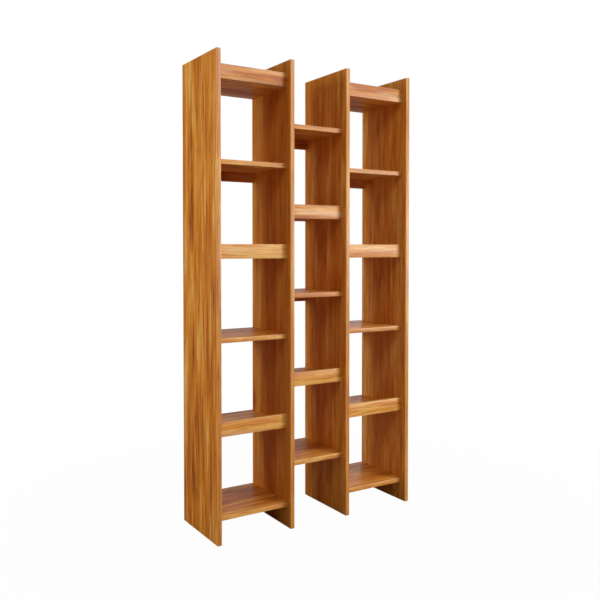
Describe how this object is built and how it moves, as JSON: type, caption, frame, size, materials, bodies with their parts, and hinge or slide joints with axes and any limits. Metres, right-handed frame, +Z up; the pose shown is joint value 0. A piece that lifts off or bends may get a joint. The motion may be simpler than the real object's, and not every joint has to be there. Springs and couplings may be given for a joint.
{
  "type": "open bookcase",
  "caption": "Tall open wooden bookcase used from both sides: full-height uprights and three columns of fixed shelves with rails, the middle column set half a pitch higher.",
  "frame": {"origin": "centre of the footprint, on the floor", "axes": "+Z up, +X along the width, -Y towards the front face"},
  "size_m": [1, 0.34, 2],
  "materials": {
    "upright_wood": "satin clear lacquer on golden brown hardwood staves",
    "shelf_board_wood": "satin clear lacquer on golden brown hardwood staves",
    "shelf_rail_wood": "satin clear lacquer on golden brown hardwood",
    "dowel_wood": "bare turned beech"
  },
  "bodies": {
    "root": {"left_end_upright": "upright_wood", "left_inner_upright": "upright_wood", "left_shelf_1_board": "shelf_board_wood", "left_shelf_1_dowels": "dowel_wood", "left_shelf_1_rail": "shelf_rail_wood", "left_shelf_2_board": "shelf_board_wood", "left_shelf_2_dowels": "dowel_wood", "left_shelf_2_rail": "shelf_rail_wood", "left_shelf_3_board": "shelf_board_wood", "left_shelf_3_dowels": "dowel_wood", "left_shelf_3_rail": "shelf_rail_wood", "left_shelf_4_board": "shelf_board_wood", "left_shelf_4_dowels": "dowel_wood", "left_shelf_4_rail": "shelf_rail_wood", "left_shelf_5_board": "shelf_board_wood", "left_shelf_5_dowels": "dowel_wood", "left_shelf_5_rail": "shelf_rail_wood", "left_shelf_6_board": "shelf_board_wood", "left_shelf_6_dowels": "dowel_wood", "left_shelf_6_rail": "shelf_rail_wood", "middle_shelf_1_board": "shelf_board_wood", "middle_shelf_1_dowels": "dowel_wood", "middle_shelf_1_rail": "shelf_rail_wood", "middle_shelf_2_board": "shelf_board_wood", "middle_shelf_2_dowels": "dowel_wood", "middle_shelf_2_rail": "shelf_rail_wood", "middle_shelf_3_board": "shelf_board_wood", "middle_shelf_3_dowels": "dowel_wood", "middle_shelf_3_rail": "shelf_rail_wood", "middle_shelf_4_board": "shelf_board_wood", "middle_shelf_4_dowels": "dowel_wood", "middle_shelf_4_rail": "shelf_rail_wood", "middle_shelf_5_board": "shelf_board_wood", "middle_shelf_5_dowels": "dowel_wood", "middle_shelf_5_rail": "shelf_rail_wood", "right_end_upright": "upright_wood", "right_inner_upright": "upright_wood", "right_shelf_1_board": "shelf_board_wood", "right_shelf_1_dowels": "dowel_wood", "right_shelf_1_rail": "shelf_rail_wood", "right_shelf_2_board": "shelf_board_wood", "right_shelf_2_dowels": "dowel_wood", "right_shelf_2_rail": "shelf_rail_wood", "right_shelf_3_board": "shelf_board_wood", "right_shelf_3_dowels": "dowel_wood", "right_shelf_3_rail": "shelf_rail_wood", "right_shelf_4_board": "shelf_board_wood", "right_shelf_4_dowels": "dowel_wood", "right_shelf_4_rail": "shelf_rail_wood", "right_shelf_5_board": "shelf_board_wood", "right_shelf_5_dowels": "dowel_wood", "right_shelf_5_rail": "shelf_rail_wood", "right_shelf_6_board": "shelf_board_wood", "right_shelf_6_dowels": "dowel_wood", "right_shelf_6_rail": "shelf_rail_wood"}
  },
  "joints": []
}
